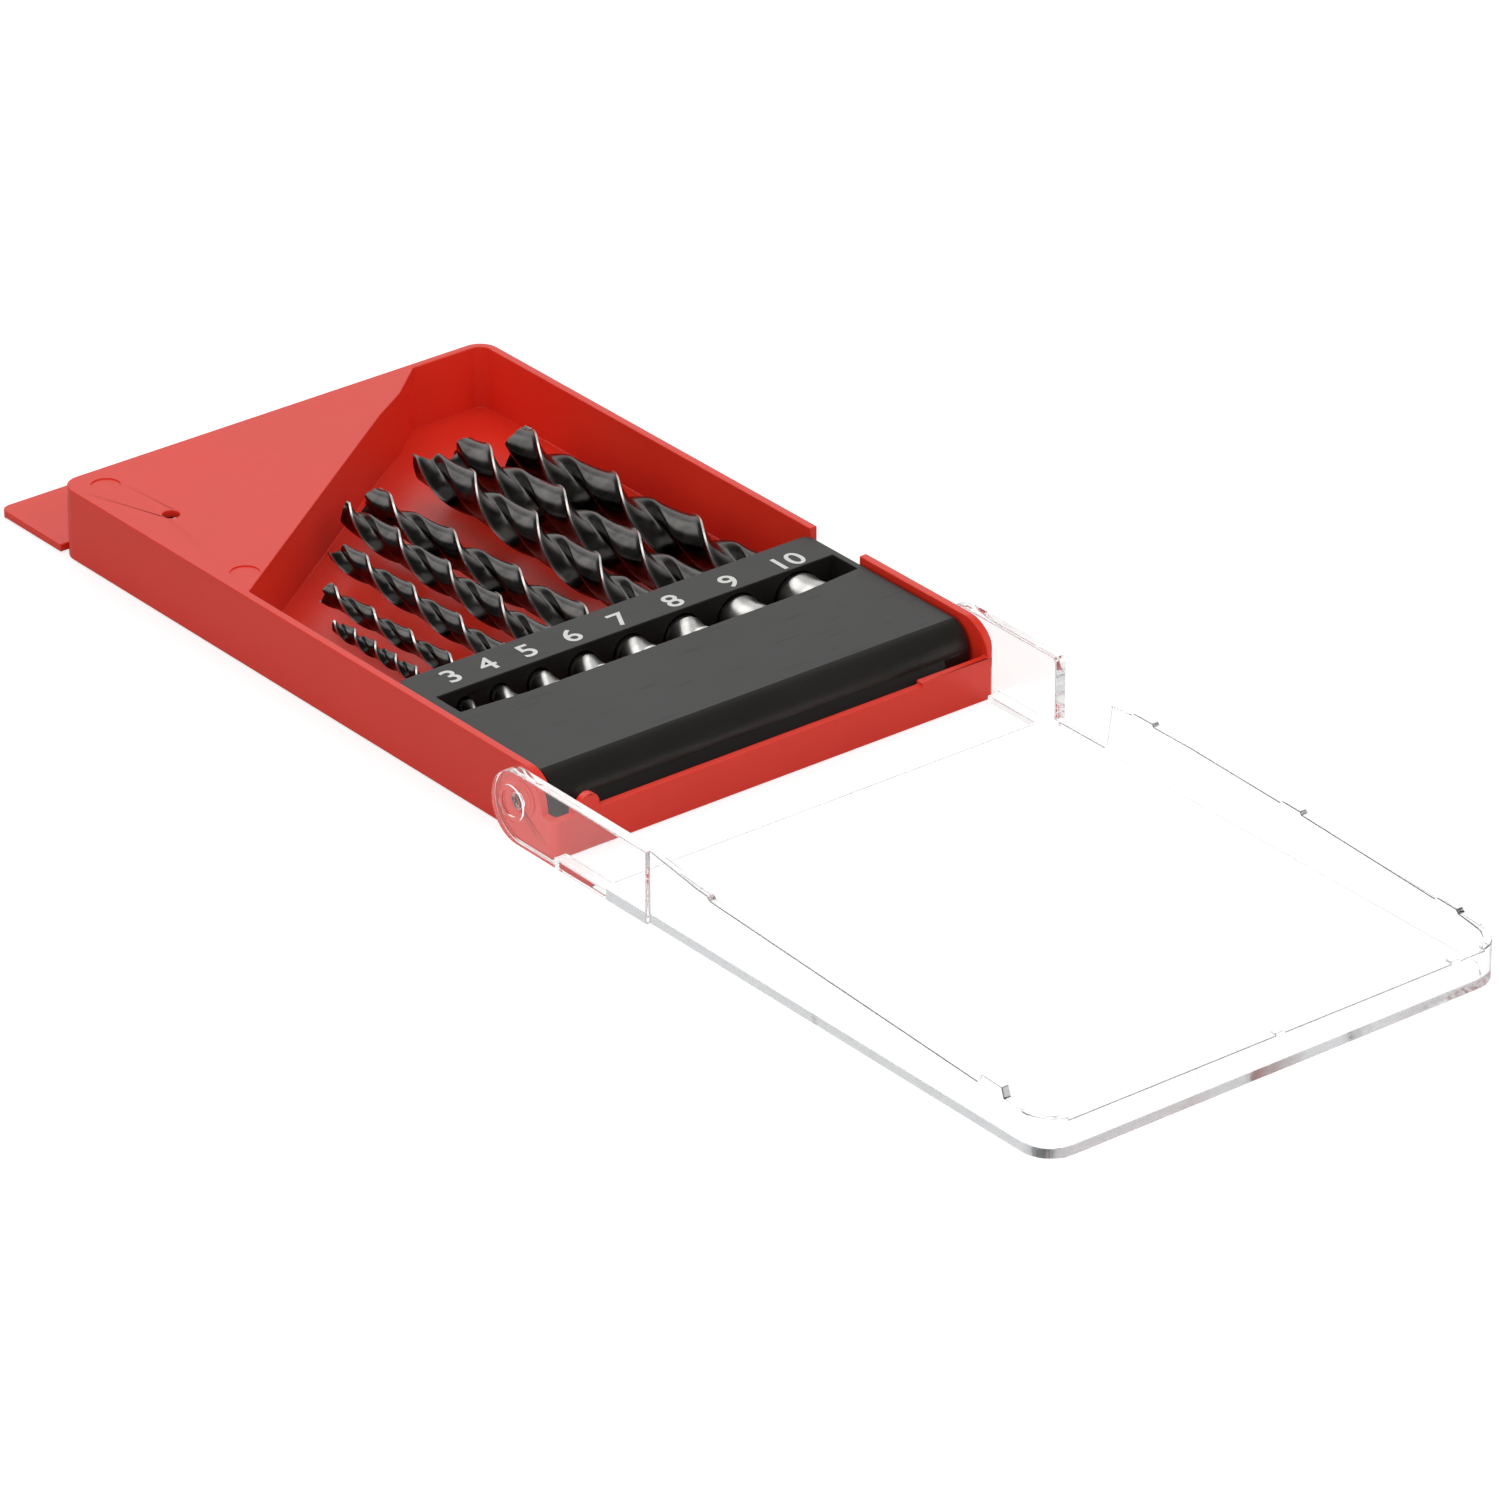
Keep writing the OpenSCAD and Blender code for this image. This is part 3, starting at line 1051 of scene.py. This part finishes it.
    def placing(self) -> Matrix:
        """Matrix from the bit's own axis to the case's frame.

        Returns:
            The placing matrix.
        """
        pivot = Matrix.Translation(
            (
                LAYOUT.socket_x(self.index),
                LAYOUT.pivot_y - LAYOUT.half_length,
                LAYOUT.socket_z(self.index),
            )
        )
        turn = Matrix.Rotation(math.radians(-self.yaw), 4, "Z")
        lean = Matrix.Rotation(math.radians(self.pitch - 90), 4, "X")
        depth = LAYOUT.seat_y - LAYOUT.pivot_y + self.seat_gap
        seat = Matrix.Translation((0, 0, depth))
        return pivot @ turn @ lean @ seat

    def build(self) -> bpy.types.Object:
        """Builds the bit and lets it stand for its CAD node.

        Returns:
            The finished bit.
        """
        name = f"bit_{self.size}mm"
        rough = new_object(name + "_work", self.grid())
        carve = rough.modifiers.new("flutes", "NODES")
        carve.node_group = FluteTree.tree()
        values = {
            "Diameter": self.diameter,
            "Lead": self.lead_ratio * self.diameter,
            "Shank Length": self.shank,
            "Run Out": self.run_out * self.diameter,
            "Phase": math.radians(self.phase),
            "Material": STEEL.material(),
        }
        for item in carve.node_group.interface.items_tree:
            if item.item_type == "SOCKET" and item.name in values:
                if item.in_out == "INPUT":
                    carve[item.identifier] = values[item.name]
        done = baked(rough, name + "_steel")
        done.data.transform(self.placing())
        soften(done.data, 40)
        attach(done, name)
        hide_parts(name)
        return done


@dataclass
class BitSet:
    """The eight bits with the small leans seen in the photograph."""

    bits: list[BradBit] = field(
        default_factory=lambda: [
            BradBit(0, 61.0 * MM, -0.05, 0.6, 125.0, 4.0),
            BradBit(1, 75.0 * MM, 0.0, -0.5, 87.5, 5.66),
            BradBit(2, 84.5 * MM, 0.3, 0.9, 10.0, 5.73),
            BradBit(3, 96.0 * MM, 0.51, 0.9, 18.0, 5.28),
            BradBit(4, 100.5 * MM, -0.2, 0.1, 174.7, 5.46),
            BradBit(5, 104.5 * MM, 0.85, 1.2, 57.0, 4.92),
            BradBit(6, 107.0 * MM, 0.0, 0.4, 54.0, 4.92),
            BradBit(7, 104.0 * MM, -0.83, 0.0, 81.0, 4.67),
        ]
    )

    def build(self) -> list[bpy.types.Object]:
        """Builds every bit.

        Returns:
            The finished bits.
        """
        return [bit.build() for bit in self.bits]


# -------------------------------------------------------------- holder


@dataclass
class SizeNumbers:
    """White printed size numbers on the holder's number bar."""

    height: float = 4.6 * MM
    capital_share: float = 0.72
    paint: float = 0.04 * MM
    sunk: float = 0.005 * MM
    bolder: float = 0.07 * MM
    stretch: float = 1.12
    aside: float = 0.8 * MM
    first_y: float = 46.0 * MM
    last_y: float = 44.3 * MM

    def number(self, index: int, top: float) -> bpy.types.Mesh:
        """Makes one number as a thin closed mesh lying on the bar.

        Args:
            index: 0 for the smallest bit.
            top: Height of the bar's top.

        Returns:
            The number's mesh, in place.
        """
        curve = bpy.data.curves.new(f"number_{index}", "FONT")
        curve.body = str(LAYOUT.sizes[index])
        curve.align_x = "CENTER"
        curve.align_y = "CENTER"
        curve.size = self.height / self.capital_share
        curve.extrude = self.paint / 2
        curve.offset = self.bolder
        curve.resolution_u = 6
        work = bpy.data.objects.new("number_work", curve)
        bpy.context.scene.collection.objects.link(work)
        bpy.context.view_layer.update()
        ready = work.evaluated_get(bpy.context.evaluated_depsgraph_get())
        mesh = bpy.data.meshes.new_from_object(ready)
        bpy.data.objects.remove(work)
        share = index / (len(LAYOUT.sizes) - 1)
        row_y = self.first_y + share * (self.last_y - self.first_y)
        place = Matrix.Translation(
            (
                LAYOUT.socket_x(index) + self.aside,
                row_y - LAYOUT.half_length,
                top + self.paint / 2 - self.sunk,
            )
        )
        xs = [v.co.x for v in mesh.vertices]
        ys = [v.co.y for v in mesh.vertices]
        centre = Vector(((min(xs) + max(xs)) / 2, (min(ys) + max(ys)) / 2, 0.0))
        wide = Matrix.Diagonal((self.stretch, 1.0, 1.0, 1.0))
        mesh.transform(place @ wide @ Matrix.Translation(-centre))
        return mesh

    def build(self) -> bpy.types.Object:
        """Prints all the numbers as one piece on the holder.

        Returns:
            The finished numbers.
        """
        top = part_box("rack")[1].z
        work = bmesh.new()
        for index in range(len(LAYOUT.sizes)):
            mesh = self.number(index, top)
            work.from_mesh(mesh)
            bpy.data.meshes.remove(mesh)
        bmesh.ops.remove_doubles(work, verts=work.verts, dist=1e-7)
        bmesh.ops.recalc_face_normals(work, faces=work.faces)
        joined = bpy.data.meshes.new("size_numbers")
        work.to_mesh(joined)
        work.free()
        done = new_object("size_numbers", joined)
        done.data.materials.append(WHITE_PAINT.material())
        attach(done, "rack")
        return done


# --------------------------------------------------------------- stage


@dataclass(frozen=True)
class PhotoCamera:
    """The photograph's camera, fitted to the tray's edges."""

    azimuth: float = -38.44
    elevation: float = 27.885
    distance: float = 1728.74 * MM
    target: tuple[float, float, float] = (2.034 * MM, -63.669 * MM, 0.0)
    focal_pixels: float = 9847.62
    image_pixels: float = 1500.0

    def build(self) -> bpy.types.Object:
        """Makes the camera and gives it to the scene.

        Returns:
            The camera object.
        """
        data = bpy.data.cameras.new("photo_camera")
        data.sensor_fit = "HORIZONTAL"
        data.sensor_width = 36.0
        data.lens = 36.0 * self.focal_pixels / self.image_pixels
        data.clip_start = 0.05
        data.clip_end = 20.0
        made = bpy.data.objects.new("photo_camera", data)
        bpy.context.scene.collection.objects.link(made)
        az, el = math.radians(self.azimuth), math.radians(self.elevation)
        back = Vector(
            (
                math.cos(el) * math.sin(az),
                -math.cos(el) * math.cos(az),
                math.sin(el),
            )
        )
        made.location = Vector(self.target) + back * self.distance
        made.rotation_mode = "QUATERNION"
        made.rotation_quaternion = (-back).to_track_quat("-Z", "Y")
        bpy.context.scene.camera = made
        return made


@dataclass
class Studio:
    """Pale floor, white surroundings and large soft lights."""

    ambient: float = 0.60
    floor_reach: float = 6.0
    floor_drop: float = 0.2 * MM
    floor_grey: float = 0.45
    floor_glow: float = 0.72
    mirrored_share: float = 0.15
    lamps: tuple[tuple[str, tuple[float, float, float], float, float], ...] = (
        ("overhead", (0.10, -0.05, 1.20), 1.0, 2.2),
        ("left", (-1.10, -0.10, 0.70), 0.8, 2.8),
        ("front", (0.10, -1.10, 0.75), 0.8, 2.6),
    )
    # Softboxes that polished parts mirror: direction, cosine where each
    # starts and where it is full, and strength.
    boxes: tuple[tuple[tuple[float, float, float], float, float, float], ...] = (
        ((-0.05, 0.72, 0.69), 0.92, 0.97, 2.0),
        ((0.61, 0.73, 0.30), 0.80, 0.93, 0.9),
        ((-0.80, 0.10, 0.60), 0.90, 0.96, 0.5),
    )
    gloom: float = 0.12
    lit_point: Vector = field(default_factory=lambda: Vector((0.0, -20 * MM, 0.0)))

    def backdrop_material(self) -> bpy.types.Material:
        """White to the camera and through glass, dimmer in mirror images.

        The floor is grey and glows, so that it still takes a faint shadow.

        Returns:
            The floor's material.
        """
        made = bpy.data.materials.new("pale_floor")
        made.use_nodes = True
        shader = made.node_tree.nodes["Principled BSDF"]
        grey = self.floor_grey
        shader.inputs["Base Color"].default_value = (grey, grey, grey, 1.0)
        shader.inputs["Roughness"].default_value = 0.6
        shader.inputs["Emission Color"].default_value = (1.0, 1.0, 1.0, 1.0)
        graph = Graph(made.node_tree)
        path = graph.node("ShaderNodeLightPath")
        seen = graph.math(
            "MAXIMUM", path.outputs["Is Camera Ray"], path.outputs["Is Transmission Ray"]
        )
        mirrored = graph.math(
            "MULTIPLY", path.outputs["Is Glossy Ray"], self.mirrored_share
        )
        share = graph.math("MAXIMUM", seen, mirrored)
        graph.feed(
            shader.inputs["Emission Strength"],
            graph.math("MULTIPLY", share, self.floor_glow),
        )
        return made

    def mirrored_room(self, graph: Graph) -> bpy.types.NodeSocket:
        """What polished parts see: a dim room with large white softboxes.

        Args:
            graph: The world's graph.

        Returns:
            The strength's socket.
        """
        place = graph.node("ShaderNodeTexCoord").outputs["Generated"]
        total: bpy.types.NodeSocket | float = self.gloom
        for way, start, full, strength in self.boxes:
            dot = graph.node("ShaderNodeVectorMath", operation="DOT_PRODUCT")
            graph.feed(dot.inputs[0], place)
            dot.inputs[1].default_value = Vector(way).normalized()
            lit = graph.span(dot.outputs["Value"], start, full, 0.0, strength)
            total = graph.math("ADD", total, lit)
        return total

    def world(self) -> None:
        """White to the camera and through glass, a plain light for the rest."""
        world = bpy.data.worlds.new("studio")
        world.use_nodes = True
        bpy.context.scene.world = world
        graph = Graph(world.node_tree)
        back = world.node_tree.nodes["Background"]
        path = graph.node("ShaderNodeLightPath")
        seen = graph.math(
            "MAXIMUM", path.outputs["Is Camera Ray"], path.outputs["Is Transmission Ray"]
        )
        plain = graph.span(seen, 0.0, 1.0, self.ambient, 1.0)
        # A ray through glass counts as glossy too, but sees the background.
        only_mirrored = graph.math(
            "SUBTRACT", path.outputs["Is Glossy Ray"], path.outputs["Is Transmission Ray"]
        )
        mixed = graph.node("ShaderNodeMix", data_type="FLOAT")
        graph.feed(mixed.inputs[0], only_mirrored)
        graph.feed(mixed.inputs[2], plain)
        graph.feed(mixed.inputs[3], self.mirrored_room(graph))
        back.inputs["Color"].default_value = (1.0, 1.0, 1.0, 1.0)
        graph.feed(back.inputs["Strength"], mixed.outputs[0])

    def build(self) -> None:
        """Builds floor, surroundings and lamps."""
        mesh = bpy.data.meshes.new("floor")
        s, z = self.floor_reach, -self.floor_drop
        mesh.from_pydata(
            [(-s, -s, z), (s, -s, z), (s, s, z), (-s, s, z)], [], [(0, 1, 2, 3)]
        )
        floor = new_object("floor", mesh)
        floor.data.materials.append(self.backdrop_material())
        self.world()
        for name, place, size, power in self.lamps:
            light = bpy.data.lights.new(name, "AREA")
            light.shape = "SQUARE"
            light.size = size
            light.energy = power
            lamp = bpy.data.objects.new(name, light)
            bpy.context.scene.collection.objects.link(lamp)
            lamp.location = place
            lamp.visible_glossy = False
            aim = self.lit_point - Vector(place)
            lamp.rotation_mode = "QUATERNION"
            lamp.rotation_quaternion = aim.to_track_quat("-Z", "Y")


@dataclass
class DrillBitCase:
    """The whole case, built piece by piece."""

    shells: tuple[MouldedShell, ...] = (
        MouldedShell("tray", "tray_shell", RED, RecordSlot.TRAY, 0.22 * MM),
        MouldedShell(
            "lid", "lid_shell", CLEAR, RecordSlot.LID, 0.25 * MM, casts_shadow=False
        ),
        MouldedShell(
            "rack", "holder_block", BLACK, RecordSlot.HOLDER, 0.22 * MM, crease=12.0
        ),
    )
    numbers: SizeNumbers = field(default_factory=SizeNumbers)
    bits: BitSet = field(default_factory=BitSet)

    def build(self) -> None:
        """Builds every piece and reports it."""
        made = [shell.build() for shell in self.shells]
        made.append(self.numbers.build())
        made += self.bits.build()
        for piece in made:
            LOG.info("%s: %d faces", piece.name, len(piece.data.polygons))


def main() -> None:
    """Builds the case, the studio and the camera."""
    logging.basicConfig(level=logging.INFO)
    scene = bpy.context.scene
    scene.view_settings.view_transform = "Standard"
    # The lid's edges carry light a long way between top and underside.
    scene.cycles.max_bounces = 64
    scene.cycles.glossy_bounces = 64
    scene.cycles.transmission_bounces = 64
    DrillBitCase().build()
    Studio().build()
    PhotoCamera().build()


if __name__ == "__main__":
    main()
